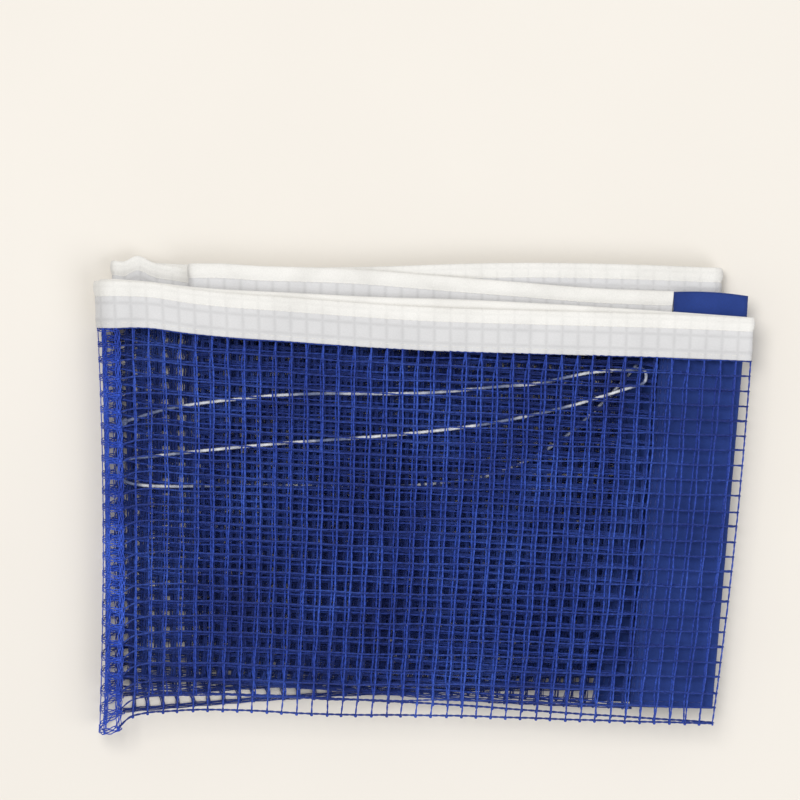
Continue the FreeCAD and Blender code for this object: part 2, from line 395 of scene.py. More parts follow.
def add_twisted(build, lines, normals, scale, turns):
    """A two-ply yarn along many lines: turns is the twist at each point, in whole turns."""
    across = line_frames(lines, normals)[1]
    scale = np.broadcast_to(scale, lines.shape[:2])
    for start in (0.0, 0.5):
        angle = 2 * np.pi * (turns + start)
        side = normals * np.cos(angle)[..., None] + across * np.sin(angle)[..., None]
        shifted = lines + side * (PLY_OFFSET * scale)[..., None]
        add_tubes(build, shifted, normals, PLY_R * scale, 5)


def add_loose(build, lines, normals, half_width, scale):
    """A flat loose yarn along many lines: fine strands side by side that wander a little."""
    across = line_frames(lines, normals)[1]
    scale = np.broadcast_to(scale, lines.shape[:2])
    line, point = np.indices(lines.shape[:2])
    for number, place in enumerate(np.linspace(-1, 1, STRANDS)):
        wander = STRAND_WANDER * np.sin(1.7 * point + 2.3 * line + 2.1 * number)
        side = (place + wander) * (half_width - STRAND_R) * scale
        add_tubes(build, lines + across * side[..., None], normals, STRAND_R * scale, 4)


KNOT_R, EDGE_KNOT_R = 0.50, 0.62
KNOT_THICKNESS = 0.62       # as a share of its width


def add_knots(build, s, v, size):
    """Small flattened balls at places on the strip, where two strands are knotted."""
    rings, sides = 3, 6
    centres, normals, directions = strip_point(s, v), strip_normal(s, v), unit(strip_along(s, v))
    across = np.cross(directions, normals)
    points = [centres[:, None] + normals[:, None] * size * KNOT_THICKNESS]
    angle = ring_angles(sides)[:, None]
    flat = directions[:, None] * np.cos(angle) + across[:, None] * np.sin(angle)
    for ring in range(rings):
        tilt = np.pi * (ring + 1) / (rings + 1)
        lift = normals[:, None] * math.cos(tilt) * size * KNOT_THICKNESS
        points.append(centres[:, None] + flat * math.sin(tilt) * size + lift)
    points.append(centres[:, None] - normals[:, None] * size * KNOT_THICKNESS)
    points = np.concatenate(points, axis=1)
    per_knot = points.shape[1]
    i = np.arange(sides)
    j = (i + 1) % sides
    top = np.stack([0 * i, 1 + i, 1 + j], axis=-1)
    last = 1 + (rings - 1) * sides
    bottom = np.stack([0 * i + per_knot - 1, last + j, last + i], axis=-1)
    belts = np.concatenate([
        np.stack([1 + r * sides + i, 1 + (r + 1) * sides + i, 1 + (r + 1) * sides + j,
                  1 + r * sides + j], axis=-1)
        for r in range(rings - 1)
    ])
    offsets = np.arange(len(centres))[:, None, None] * per_knot
    faces = [(block[None] + offsets).reshape(-1, block.shape[1]) for block in (top, bottom, belts)]
    build.add(points, faces)


# ---------------------------------------------------------------- materials


def new_material(name):
    material = bpy.data.materials.new(name)
    material.use_nodes = True
    tree = material.node_tree
    shader = tree.nodes["Principled BSDF"]
    return material, tree, shader


def noise(tree, vector, scale, detail=3.0, roughness=0.55):
    made = tree.nodes.new("ShaderNodeTexNoise")
    made.inputs["Scale"].default_value = scale
    made.inputs["Detail"].default_value = detail
    made.inputs["Roughness"].default_value = roughness
    tree.links.new(vector, made.inputs["Vector"])
    return made.outputs["Fac"]


def ramp(tree, value, stops):
    made = tree.nodes.new("ShaderNodeValToRGB")
    elements = made.color_ramp.elements
    while len(elements) < len(stops):
        elements.new(0.5)
    for element, (place, colour) in zip(elements, stops):
        element.position = place
        element.color = (*colour, 1.0)
    tree.links.new(value, made.inputs["Fac"])
    return made.outputs["Color"]


def math_node(tree, operation, a, b=None):
    made = tree.nodes.new("ShaderNodeMath")
    made.operation = operation
    for slot, value in enumerate((a, b)):
        if value is None:
            continue
        if hasattr(value, "is_output"):
            tree.links.new(value, made.inputs[slot])
        else:
            made.inputs[slot].default_value = value
    return made.outputs[0]


def mix_colour(tree, factor, a, b, blend="MIX"):
    made = tree.nodes.new("ShaderNodeMix")
    made.data_type = "RGBA"
    made.blend_type = blend
    for socket, value in ((0, factor), (6, a), (7, b)):
        if hasattr(value, "is_output"):
            tree.links.new(value, made.inputs[socket])
        elif socket == 0:
            made.inputs[socket].default_value = value
        else:
            made.inputs[socket].default_value = (*value, 1.0)
    return made.outputs[2]


def bump(tree, shader, height, strength, distance):
    made = tree.nodes.new("ShaderNodeBump")
    made.inputs["Strength"].default_value = strength
    made.inputs["Distance"].default_value = distance
    tree.links.new(height, made.inputs["Height"])
    tree.links.new(made.outputs[0], shader.inputs["Normal"])


def set_colour(tree, shader, colour):
    tree.links.new(colour, shader.inputs["Base Color"])


def set_roughness(tree, shader, value, low, high):
    rough = ramp(tree, value, [(0.3, (low,) * 3), (0.7, (high,) * 3)])
    tree.links.new(rough, shader.inputs["Roughness"])


def coordinates(tree, kind):
    """A point's place: "Object" in metres, or "UV" in the cloth's own millimetres."""
    return tree.nodes.new("ShaderNodeTexCoord").outputs[kind]


def yarn_material(name, painted_light_gain):
    """Royal blue nylon yarn: filaments, uneven dye and a satin sheen. The gain scales the whole
    colour as painted light: above 1 for lit copies, below 1 for shaded copies.
    """
    material, tree, shader = new_material(name)
    where = coordinates(tree, "Object")
    broad = noise(tree, where, 42.0)
    fine = noise(tree, where, 1500.0, 4.0, 0.7)
    base = ramp(tree, broad, [
        (0.30, (0.006 * painted_light_gain, 0.020 * painted_light_gain, 0.180 * painted_light_gain)),
        (0.52, (0.010 * painted_light_gain, 0.033 * painted_light_gain, 0.250 * painted_light_gain)),
        (0.72, (0.018 * painted_light_gain, 0.054 * painted_light_gain, 0.330 * painted_light_gain)),
    ])
    # Fine flecks: filament tone that differs at random, with painted highlights at their light end,
    # greyed towards white
    flecks = ramp(tree, fine, [(0.35, (0.50, 0.55, 0.62)), (0.66, (2.1, 1.75, 1.3))])
    colour = mix_colour(tree, 1.0, base, flecks, "MULTIPLY")
    set_colour(tree, shader, colour)
    set_roughness(tree, shader, fine, 0.34, 0.58)
    shader.inputs["Specular IOR Level"].default_value = 0.22
    shader.inputs["Sheen Weight"].default_value = 0.15
    shader.inputs["Sheen Roughness"].default_value = 0.4
    shader.inputs["Sheen Tint"].default_value = (0.4, 0.5, 1.0, 1.0)
    bump(tree, shader, fine, 0.5, 0.00012)
    return material


WEAVE_PITCH = 0.42          # between threads of the tape and the sleeves


def weave_height(tree, pitch):
    """A plain weave from the cloth's own millimetres: threads over and under each other."""
    split = tree.nodes.new("ShaderNodeSeparateXYZ")
    tree.links.new(coordinates(tree, "UV"), split.inputs[0])
    waves = [
        math_node(tree, "SINE", math_node(tree, "MULTIPLY", axis, 2 * math.pi / pitch))
        for axis in (split.outputs[0], split.outputs[1])
    ]
    product = math_node(tree, "MULTIPLY", waves[0], waves[1])
    return math_node(tree, "MULTIPLY_ADD", product, 0.5), split


def mesh_shows(tree, split, strength):
    """How the net sewn inside darkens the tape's cloth: lines at its rows and columns."""
    u = math_node(tree, "SUBTRACT", split.outputs[0], MESH_U)
    v = math_node(tree, "SUBTRACT", split.outputs[1], TAPE_WIDTH)
    lines = []
    for axis, pitch in ((u, PITCH), (v, (NET_HEIGHT - TAPE_WIDTH) / ROWS)):
        away = math_node(tree, "DIVIDE", math_node(tree, "PINGPONG", axis, pitch / 2), 0.95)
        lines.append(math_node(tree, "SUBTRACT", 1.0, math_node(tree, "MINIMUM", away, 1.0)))
    line = math_node(tree, "MAXIMUM", *lines)
    below_channel = math_node(tree, "GREATER_THAN", split.outputs[1], CHANNEL_SEAM_DOWN)
    line = math_node(tree, "MULTIPLY", line, below_channel)
    shade = math_node(tree, "SUBTRACT", 1.0, math_node(tree, "MULTIPLY", line, strength))
    made = tree.nodes.new("ShaderNodeCombineColor")
    for channel in range(3):
        tree.links.new(shade, made.inputs[channel])
    return made.outputs[0]


def cloth_material(name, low, mid, high, alpha, pitch, weave_strength, dirt, gloss, mesh):
    """Woven cloth: weave, uneven threads, soft stains, painted shade in the weave's low points, and
    how far a mesh inside shows through.
    """
    material, tree, shader = new_material(name)
    height, split = weave_height(tree, pitch)
    broad = noise(tree, coordinates(tree, "Object"), 55.0, 4.0)
    slub = noise(tree, coordinates(tree, "UV"), 1.7, 3.0)
    base = ramp(tree, broad, [(0.28, low), (0.5, mid), (0.75, high)])
    threads = ramp(tree, slub, [(0.35, (1 - dirt,) * 3), (0.65, (1.0,) * 3)])
    colour = mix_colour(tree, 1.0, base, threads, "MULTIPLY")
    # Painted shade: the low points of the weave are darkened
    shade = ramp(tree, height, [(0.15, (0.86,) * 3), (0.85, (1.0,) * 3)])
    colour = mix_colour(tree, 1.0, colour, shade, "MULTIPLY")
    if mesh:
        colour = mix_colour(tree, 1.0, colour, mesh_shows(tree, split, mesh), "MULTIPLY")
    set_colour(tree, shader, colour)
    set_roughness(tree, shader, slub, 0.78, 0.93)
    shader.inputs["Alpha"].default_value = alpha
    shader.inputs["Specular IOR Level"].default_value = gloss
    shader.inputs["Sheen Weight"].default_value = gloss * 0.5
    shader.inputs["Sheen Roughness"].default_value = 0.5
    bump(tree, shader, height, weave_strength, 0.00012)
    return material


def cord_material():
    """White braided polyester. Its navy-grey patches are painted shade, as if blue net lay over it,
    and the faint blue of its white is painted light bounced off the net.
    """
    material, tree, shader = new_material("cord")
    where = coordinates(tree, "Object")
    fine = noise(tree, where, 1900.0, 4.0, 0.7)
    broad = noise(tree, where, 60.0)
    # Painted shade in navy-grey patches, and a bluish white for painted bounce light from the net
    base = ramp(tree, broad, [(0.44, (0.17, 0.21, 0.36)), (0.54, (0.78, 0.80, 0.84))])
    flecks = ramp(tree, fine, [(0.35, (0.8, 0.8, 0.8)), (0.65, (1.0, 1.0, 1.0))])
    colour = mix_colour(tree, 1.0, base, flecks, "MULTIPLY")
    set_colour(tree, shader, colour)
    set_roughness(tree, shader, fine, 0.5, 0.7)
    bump(tree, shader, fine, 0.5, 0.0001)
    return material


def thread_material(name, dark, light):
    material, tree, shader = new_material(name)
    fine = noise(tree, coordinates(tree, "Object"), 2400.0, 3.0, 0.7)
    set_colour(tree, shader, ramp(tree, fine, [(0.3, dark), (0.7, light)]))
    set_roughness(tree, shader, fine, 0.4, 0.6)
    bump(tree, shader, fine, 0.4, 0.00008)
    return material


def floor_material():
    material, tree, shader = new_material("floor")
    broad = noise(tree, coordinates(tree, "Object"), 6.0)
    stops = [(0.3, (0.722, 0.689, 0.637)), (0.7, (0.742, 0.709, 0.657))]
    set_colour(tree, shader, ramp(tree, broad, stops))
    shader.inputs["Roughness"].default_value = 0.85
    shader.inputs["Specular IOR Level"].default_value = 0.2
    return material


# Lit and shaded copies of one yarn, as painted light: the cover's columns and the folds lighter,
# the cover's rows and the hidden layers (net_yarn) darker
YARN_COLUMN_PAINTED_LIGHT = yarn_material("net_yarn_column_painted_light", 1.45)
YARN_ROW_PAINTED_SHADE = yarn_material("net_yarn_row_painted_shade", 0.90)
YARN_FOLD_PAINTED_LIGHT = yarn_material("net_yarn_fold_painted_light", 2.1)   # painted highlight: yarn squeezed at a fold is coloured lighter, as if it catches the light
YARN = yarn_material("net_yarn", 0.85)
TAPE = cloth_material(
    "tape_cloth", (0.74, 0.73, 0.70), (0.82, 0.81, 0.78), (0.88, 0.87, 0.84), 1.0, WEAVE_PITCH,
    0.5, 0.06, 0.5, 0.05,
)
SHEER = cloth_material(
    "tape_sheer", (0.65, 0.65, 0.66), (0.69, 0.69, 0.70), (0.73, 0.73, 0.74), 0.96, WEAVE_PITCH,
    0.5, 0.05, 0.5, 0.12,
)
SLEEVE = cloth_material(
    "sleeve_cloth", (0.014, 0.036, 0.185), (0.019, 0.048, 0.235), (0.026, 0.060, 0.285), 1.0, 0.55,
    0.6, 0.15, 0.2, 0.0,
)
CORD = cord_material()
WHITE_THREAD = thread_material("white_thread", (0.62, 0.61, 0.58), (0.80, 0.79, 0.76))
BLUE_THREAD = thread_material("blue_thread", (0.016, 0.030, 0.16), (0.035, 0.062, 0.28))


# ---------------------------------------------------------------- riding


def put(piece, segment, nodes):
    """Rides a piece on its body's empty, or on a turned fold bakes its place into the mesh, and
    hides the CAD parts that it stands for.
    """
    if segment in TURNED:
        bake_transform(piece)
    else:
        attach(piece, COVER_BODY if segment in COVER else STACK_BODY)
    if nodes:
        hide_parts(*nodes)


# ---------------------------------------------------------------- the net

COLUMNS = np.arange(MESH_U, STRIP_LENGTH, PITCH)
ROW_NUMBERS = np.arange(-2, ROWS + 1)       # two rows are sewn into the tape
ROW_V = TAPE_V + (1 - TAPE_V) * ROW_NUMBERS / ROWS

# How far each layer's mesh has slipped against the others: along the strip, and down it
SLIP = {
    1: (0.0, 0.0), 2: (1.2, 0.9), 3: (-1.4, -0.8), 4: (1.5, 2.3), 5: (0.6, 1.7), 6: (2.7, -2.5),
    7: (-2.3, -1.2), 8: (2.5, 2.4),
}
SLIP_EASE = 11.0            # a slip dies away over this towards the folds and the net's edges

COLUMN_PHASE = RNG.uniform(0, 2 * np.pi, (len(COLUMNS), 3))
ROW_PHASE = RNG.uniform(0, 2 * np.pi, (len(ROW_V), 3))
WANDER = 0.34               # how far a strand strays from the even grid
SAMPLES = 6                 # points along a cell's side where the yarn shows best
SAMPLES_HIDDEN = 2          # and in the hidden layers


def column_stray(column, v):
    """How far a column strays along the strip, for the share v down."""
    phase = COLUMN_PHASE[column]
    slow = np.sin(9.0 * v + phase[..., 0]) + 0.6 * np.sin(23.0 * v + phase[..., 1])
    return WANDER * (slow * 0.6 + 0.35 * np.sin(61.0 * v + phase[..., 2]))


def row_stray(row, s):
    """How far a row strays down the net, in shares of its height."""
    phase = ROW_PHASE[row]
    slow = np.sin(s / 31.0 + phase[..., 0]) + 0.6 * np.sin(s / 11.3 + phase[..., 1])
    edge = np.where(row == len(ROW_V) - 1, 0.3, 1.0)
    return WANDER / NET_HEIGHT * edge * (slow * 0.6 + 0.4 * np.sin(s / 4.1 + phase[..., 2]))


def slipped(s, v):
    """Where a place on the mesh lies once its layer has slipped against the others."""
    index = np.clip(np.searchsorted(STARTS, s, side="right") - 1, 0, len(STRIP) - 1)
    slip = np.array([SLIP.get(segment, (0.0, 0.0)) for segment in STRIP])[index]
    to_fold = np.minimum(s - STARTS[index], STARTS[index + 1] - s)
    to_edge = np.minimum(v - TAPE_V, 1 - v) * NET_HEIGHT
    share = np.clip(to_fold / SLIP_EASE, 0, 1) * np.clip(to_edge / SLIP_EASE, 0, 1)
    share = share * share * (3 - 2 * share)
    return s + slip[..., 0] * share, v + slip[..., 1] * share / NET_HEIGHT


def yarn_scale(v):
    """Strands are thin where they are sewn into the tape, and thick along the bottom edge."""
    return np.where(v < TAPE_V - 0.004, 0.3, np.where(v > 0.995, 1.2, 1.0))


def subdivide(values, parts):
    """Evenly spaced values, parts of them between each pair."""
    positions = np.arange((len(values) - 1) * parts + 1) / parts
    return np.interp(positions, np.arange(len(values)), values)


def column_lines(columns, parts):
    """The middle lines and normals of some columns, and their shares down the net."""
    rows = np.arange(len(ROW_V))
    at = subdivide(ROW_V, parts)
    row_at = subdivide(rows, parts)
    s = COLUMNS[columns][:, None] + column_stray(columns[:, None], at[None, :])
    nearest = np.rint(row_at).astype(int)
    v = at[None, :] + row_stray(nearest[None, :], s)
    s, v = slipped(s, v)
    lift = CROSSING_LIFT * yarn_scale(at)[None, :] * (0.7 + 0.3 * np.cos(2 * np.pi * row_at))
    return off_strip(s, v, lift), strip_normal(s, v), at


def row_lines(first, last, rows, parts):
    """The middle lines and normals of some rows across a group of segments."""
    start, end = STARTS[first], STARTS[last + 1]
    if first == 0:
        start = -ROWS_PAST_END
    if last == len(STRIP) - 1:
        end += ROWS_PAST_END
    inside = COLUMNS[(COLUMNS > start + 0.3) & (COLUMNS < end - 0.3)]
    knots = np.concatenate([[start], inside, [end]])
    s = subdivide(knots, parts)
    v = ROW_V[rows][:, None] + row_stray(rows[:, None], s[None, :])
    s, v = slipped(np.broadcast_to(s, v.shape), v)
    lift = -CROSSING_LIFT * yarn_scale(v)
    return off_strip(s, v, lift), strip_normal(s, v), s


def group_columns(first, last):
    inside = (COLUMNS >= STARTS[first]) & (COLUMNS < STARTS[last + 1])
    return np.nonzero(inside)[0]


def add_selvedge_bumps(build, columns):
    """The knots that stand proud of the bottom row."""
    last = np.full(len(columns), len(ROW_V) - 1)
    s = COLUMNS[columns] + column_stray(columns, 1.0)
    add_knots(build, s, 1.0 + row_stray(last, s) + 0.45 / NET_HEIGHT, EDGE_KNOT_R)


def net_group(first, last):
    """The net over a group of segments, with its rows a second piece on the cover and its folds."""
    segment = STRIP[first]
    turned, twisted = segment in TURNED, segment in COVER
    two_pieces = turned or twisted
    parts = SAMPLES if two_pieces else SAMPLES_HIDDEN
    columns = group_columns(first, last)
    label = node_name("net", segment)
    nodes = [node_name("net", STRIP[i]) for i in range(first, last + 1)]
    rows = np.arange(len(ROW_V))
    half_width = LOOSE_HALF_TURNED if turned else LOOSE_HALF.get(segment)
    build = Build()
    lines, normals, at = column_lines(columns, parts)
    scale = yarn_scale(at)[None, :]
    if twisted:
        turns = np.arange(lines.shape[1])[None, :] / parts + columns[:, None] * 0.37
        add_twisted(build, lines, normals, scale, turns)
    else:
        add_loose(build, lines, normals, half_width, scale)
    grid_s = COLUMNS[columns][:, None] + column_stray(columns[:, None], ROW_V[None, :])
    grid_v = ROW_V[None, :] + row_stray(rows[None, :], grid_s)
    keep = np.broadcast_to(ROW_V[None, :] > TAPE_V - 0.01, grid_s.shape)
    add_knots(build, *slipped(grid_s[keep], grid_v[keep]), KNOT_R)
    add_selvedge_bumps(build, columns)
    pieces = []
    # The cover and the turned folds get their columns and rows as separate pieces, so that each
    # takes its own painted-light copy of the yarn
    if two_pieces:
        pieces.append(build.make(f"{label}_columns", [YARN_FOLD_PAINTED_LIGHT if turned else YARN_COLUMN_PAINTED_LIGHT]))
        build = Build()
    lines, normals, s = row_lines(first, last, rows, parts)
    scale = yarn_scale(ROW_V)[:, None]
    if twisted:
        add_twisted(build, lines, normals, scale, s / PITCH + rows[:, None] * 0.29)
    else:
        add_loose(build, lines, normals, half_width, scale)
    if two_pieces:
        pieces.append(build.make(f"{label}_rows", [YARN_FOLD_PAINTED_LIGHT if turned else YARN_ROW_PAINTED_SHADE]))
    else:
        pieces.append(build.make(f"{label}_mesh", [YARN]))
    for piece in pieces:
        put(piece, segment, nodes)


# ---------------------------------------------------------------- the tape

# Across the tape: distance from its top edge, and half its thickness there
TAPE_PROFILE = [
    (0.0, 0.10), (0.25, 0.42), (0.8, 0.68), (1.6, 0.84), (2.5, 0.88), (3.4, 0.84), (4.2, 0.66),
    (4.8, 0.46), (5.3, 0.30), (5.8, 0.42), (6.8, 0.46), (8.3, 0.46), (9.8, 0.46), (11.2, 0.45),
    (11.7, 0.50), (12.1, 0.60), (13.2, 0.60), (14.1, 0.54), (14.6, 0.42), (15.1, 0.54),
    (15.9, 0.56), (16.25, 0.40), (16.35, 0.10),
]
TAPE_STEP = 1.4
TAPE_RIM = 0.03             # keeps the shading of a run's end face off its sides
SEAM_PUCKER, SEAM_SPREAD = 0.05, 1.2
STITCH_PITCH = 2.9
STITCH_LENGTH = 2.2
STITCH_R = 0.13


def tape_lift(t, s, face):
    """The height of a face of the tape over its middle: its profile, puckered at the seams."""
    ts, halves = np.array(TAPE_PROFILE).T
    half = np.interp(t, ts, halves)
    wave = SEAM_PUCKER * np.sin(2 * np.pi * s / STITCH_PITCH)
    pucker = wave * np.exp(-((t - CHANNEL_SEAM_DOWN) / SEAM_SPREAD) ** 2)
    pucker += wave * np.exp(-((t - HEM_SEAM_DOWN) / SEAM_SPREAD) ** 2)
    drape = 0.06 * np.sin(s / 9.0 + 0.6 * t) + 0.04 * np.sin(s / 3.7 + 1.3)
    return face * (half + pucker) + drape * 0.5


def tape_range(first, last):
    """Where the tape over a group of segments starts and ends along the strip."""
    start, end = STARTS[first], STARTS[last + 1]
    if first == 0:
        start -= TAPE_PAST_END
    if last == len(STRIP) - 1:
        end += TAPE_PAST_END
    return start, end


def tape_group(first, last):
    """A run of the tape: a closed tube of cloth that the profile flattens."""
    start, end = tape_range(first, last)
    count = max(7, int(round((end - start) / TAPE_STEP)) + 1)
    s = np.linspace(start, end, count)
    s = np.concatenate([s[:1], s[:1] + TAPE_RIM, s[1:-1], s[-1:] - TAPE_RIM, s[-1:]])
    count = len(s)
    down = [t for t, _ in TAPE_PROFILE]
    t = np.array(down + down[::-1])
    face = np.array([1.0] * len(down) + [-1.0] * len(down))
    s_grid, t_grid = np.meshgrid(s, t, indexing="ij")
    lift = tape_lift(t_grid, s_grid, face[None, :])
    points = off_strip(s_grid, t_grid / NET_HEIGHT, lift)
    width = len(t)
    middle = (t + np.roll(t, -1)) / 2
    sheer = ((middle > CHANNEL_SEAM_DOWN) & (middle < TAPE_WIDTH)).astype(int)
    build = Build()
    uv = np.stack([s_grid, t_grid + np.where(face > 0, 0.0, 20.0)[None, :]], axis=-1)
    build.add(points, [grid_faces(count, width, closed=True)], uv, np.tile(sheer, count - 1))
    build.faces += [np.arange(width)[None, :], (np.arange(width) + (count - 1) * width)[None, ::-1]]
    build.slots += [np.zeros(1, int), np.zeros(1, int)]
    segment = STRIP[first]
    piece = build.make(node_name("tape", segment) + "_cloth", [TAPE, SHEER])
    put(piece, segment, [node_name("tape", STRIP[i]) for i in range(first, last + 1)])


# ---------------------------------------------------------------- sewing

STITCH_SHARE = np.linspace(0, 1, 5)
STITCH_ARCH = np.sin(np.pi * STITCH_SHARE) ** 0.5
END_GAP = 0.4               # from a stitch to the end of its segment


def stitch_starts(index):
    """Where the stitches of a segment of the tape begin along the strip."""
    start, end = tape_range(index, index)
    first = math.ceil((start + END_GAP) / STITCH_PITCH)
    last = math.floor((end - END_GAP - STITCH_LENGTH) / STITCH_PITCH)
    return np.arange(first, last + 1) * STITCH_PITCH


def tape_stitches():
    """Two rows of stitches on both faces: on the cover, on the stack, and on each turned fold."""
    groups = {}
    for index, segment in enumerate(STRIP):
        starts = stitch_starts(index)
        if not len(starts):
            continue
        key = segment if segment in TURNED else "cover" if segment in COVER else "stack"
        build = groups.setdefault(key, Build())
        s = starts[:, None] + STITCH_SHARE[None, :] * STITCH_LENGTH
        for t in (CHANNEL_SEAM_DOWN, HEM_SEAM_DOWN):
            v = np.full(s.shape, t / NET_HEIGHT)
            for face in (1.0, -1.0):
                arch = STITCH_ARCH * 0.2 - 0.12
                lift = tape_lift(np.full(s.shape, t), s, face) + face * arch[None, :]
                add_tubes(build, off_strip(s, v, lift), strip_normal(s, v), STITCH_R, 5)
    for key, build in groups.items():
        name = "tape_stitches_%d_%d" % key if key in TURNED else f"tape_stitches_{key}"
        nodes = [] if key in TURNED else [f"tape_threads_{key}"]
        segment = {"cover": 1, "stack": 3}.get(key, key)
        put(build.make(name, [WHITE_THREAD]), segment, nodes)


# ---------------------------------------------------------------- the cord


BRAID_PITCH = 3.2
BRAID_LOW, BRAID_RISE = 0.93, 0.14          # shares of the cord's radius


def add_cord(build, points, closed_ends=True):
    """A braided cord along points that lie close together."""
    tangents, across = line_frames(points, np.array([0.0, 0.0, 1.0]))
    up = np.cross(across, tangents)
    run = np.concatenate([[0], np.cumsum(np.linalg.norm(np.diff(points, axis=0), axis=1))])
    sides = 12
    angle = ring_angles(sides)
    phase = 2 * np.pi * run / BRAID_PITCH
    lobes, phase = 3 * angle[None, :], phase[:, None]
    braid = np.sin(lobes + phase) * np.sin(lobes - phase)
    radius = CORD_D / 2 * (BRAID_LOW + BRAID_RISE * braid)
    if closed_ends:
        taper = np.clip(np.minimum(run, run[-1] - run) / 0.25, 0.35, 1.0)
        radius = radius * taper[:, None]
    ring = up[:, None] * np.cos(angle)[:, None] + across[:, None] * np.sin(angle)[:, None]
    grid = points[:, None] + ring * radius[..., None]
    count = len(points)
    faces = [
        grid_faces(count, sides, closed=True)[:, ::-1],
        np.arange(sides)[None, :],
        (np.arange(sides) + (count - 1) * sides)[None, ::-1],
    ]
    uv = np.stack(np.broadcast_arrays(run[:, None], angle[None, :]), axis=-1)
    build.add(grid, faces, uv)


def channel_cord():
    """The cord inside the tape, as the CAD model divides it."""
    groups = {"cover": Build(), "stack": Build()}
    for first, last in TAPE_GROUPS:
        segment = STRIP[first]
        start, end = tape_range(first, last)
        s = np.linspace(start, end, int((end - start) / 0.6))
        points = strip_point(s, np.full(s.shape, CHANNEL_DOWN / NET_HEIGHT))
        if segment in TURNED:
            build = Build()
            add_cord(build, points, closed_ends=False)
            piece = build.make("channel_cord_%d_%d" % segment, [CORD])
            put(piece, segment, ["channel_cord_turn"])
            continue
        add_cord(groups["cover" if segment in COVER else "stack"], points, closed_ends=False)
    put(groups["cover"].make("channel_cord_in_cover", [CORD]), 1, ["channel_cord_cover"])
    put(groups["stack"].make("channel_cord_in_stack", [CORD]), 3, ["channel_cord_stack"])


# The cord's tail at end B. It leaves the tape's channel there, runs left between layers 4 and 5,
# comes up past the fold of layers 3 and 4, and lies on layer 3 in a hairpin that ends in a knot.
TAIL_B = [
    (0.0790, 0.0740, 0.0064), (0.0855, 0.0732, 0.0068), (0.0891, 0.0676, 0.0076),
    (0.0875, 0.0605, 0.00795), (0.0819, 0.0526, 0.00795), (0.0690, 0.0370, 0.00795),
    (0.0500, 0.0190, 0.00795), (0.0280, 0.0074, 0.00795), (0.0024, 0.0035, 0.00795),
    (-0.0260, 0.0030, 0.00795), (-0.0560, 0.0036, 0.00795), (-0.0860, 0.0030, 0.00795),
    (-0.1015, 0.0032, 0.00795), (-0.1096, 0.0046, 0.0085), (-0.1122, 0.0094, 0.0094),
    (-0.1088, 0.0132, 0.0104), (-0.1005, 0.0139, 0.0116), (-0.0910, 0.0150, 0.0128),
    (-0.0840, 0.0158, 0.0129), (-0.0540, 0.0188, 0.01285), (-0.0120, 0.0216, 0.01285),
    (0.0220, 0.0254, 0.01285), (0.0500, 0.0314, 0.01285), (0.0660, 0.0362, 0.01285),
    (0.0752, 0.0393, 0.01285), (0.0809, 0.0406, 0.01285), (0.0806, 0.0462, 0.01285),
    (0.0750, 0.0456, 0.01285), (0.0610, 0.0449, 0.01285), (0.0500, 0.0424, 0.01285),
    (0.0400, 0.0402, 0.01285), (0.0280, 0.0396, 0.01285), (-0.0020, 0.0366, 0.01285),
    (-0.0445, 0.0372, 0.01285), (-0.0740, 0.0344, 0.01285), (-0.0885, 0.0324, 0.0131),
    (-0.0985, 0.0302, 0.0110), (-0.1080, 0.0270, 0.00925),
]


def route(name, points):
    """Points close together along the smooth line that a route in metres gives."""
    curve = bpy.data.curves.new(name, "CURVE")
    curve.dimensions = "3D"
    curve.resolution_u = 64
    spline = curve.splines.new("NURBS")
    spline.points.add(len(points) - 1)
    for place, point in zip(spline.points, points):
        place.co = (*point, 1.0)
    spline.order_u = 3
    spline.use_endpoint_u = True
    holder = bpy.data.objects.new(name, curve)
    mesh = bpy.data.meshes.new_from_object(holder)
    line = np.array([v.co[:] for v in mesh.vertices])
    bpy.data.objects.remove(holder)
    bpy.data.meshes.remove(mesh)
    return line / MM


def overhand_knot(end, before):
    """A small tight knot, as a three-lobed tube, just past the end of a tail."""
    t = np.linspace(0, 2 * np.pi, 90)
    loop = np.stack([
        np.sin(t) + 2 * np.sin(2 * t),
        np.cos(t) - 2 * np.cos(2 * t),
        -np.sin(3 * t) * 1.3,
    ], axis=-1) * 0.36
    forward = (end - before) / np.linalg.norm(end - before)
    centre = end + forward * 1.3
    build = Build()
    add_cord(build, loop + centre, closed_ends=False)
    return build.make("cord_knot_b", [CORD])


def cord_tail():
    """The cord's tail, braided along its route, with the knot at its end."""
    line = route("cord_tail_b", TAIL_B)
    knot = overhand_knot(line[-1], line[-4])
    build = Build()
    add_cord(build, line)
    piece = build.make("cord_tail_b_braid", [CORD])
    put(knot, 3, ["cord_knot"])
    put(piece, 3, ["cord_tail_b"])


# ---------------------------------------------------------------- the sleeves

SLEEVE_INNER = [(86.4, 57.6), (74.7, -77.0)]
SLEEVE_OUTER = [(116.7, 56.6), (104.9, -77.7)]
TAB_CORNERS = [(90.9, 73.9), (117.9, 72.4), (116.9, 56.0), (90.4, 56.6)]
TAB_ARCH = 0.7              # how far the tab's top edge rises at its middle
SLEEVE_B_SHIFT = (-12.5, 1.8)
CLOTH = 0.24
# Round the pocket from its sewn edge and back: share of the width, and height in the layer
POCKET = [
    (0.000, 0.60), (0.020, 0.48), (0.055, 0.26), (0.10, 0.17), (0.25, 0.14), (0.50, 0.13),
    (0.75, 0.14), (0.90, 0.16), (0.96, 0.26), (0.99, 0.52), (1.00, 0.85), (0.99, 1.18),
    (0.96, 1.44), (0.90, 1.54), (0.75, 1.57), (0.50, 1.57), (0.25, 1.56), (0.10, 1.53),
    (0.055, 1.44), (0.020, 1.22), (0.000, 1.10),
]


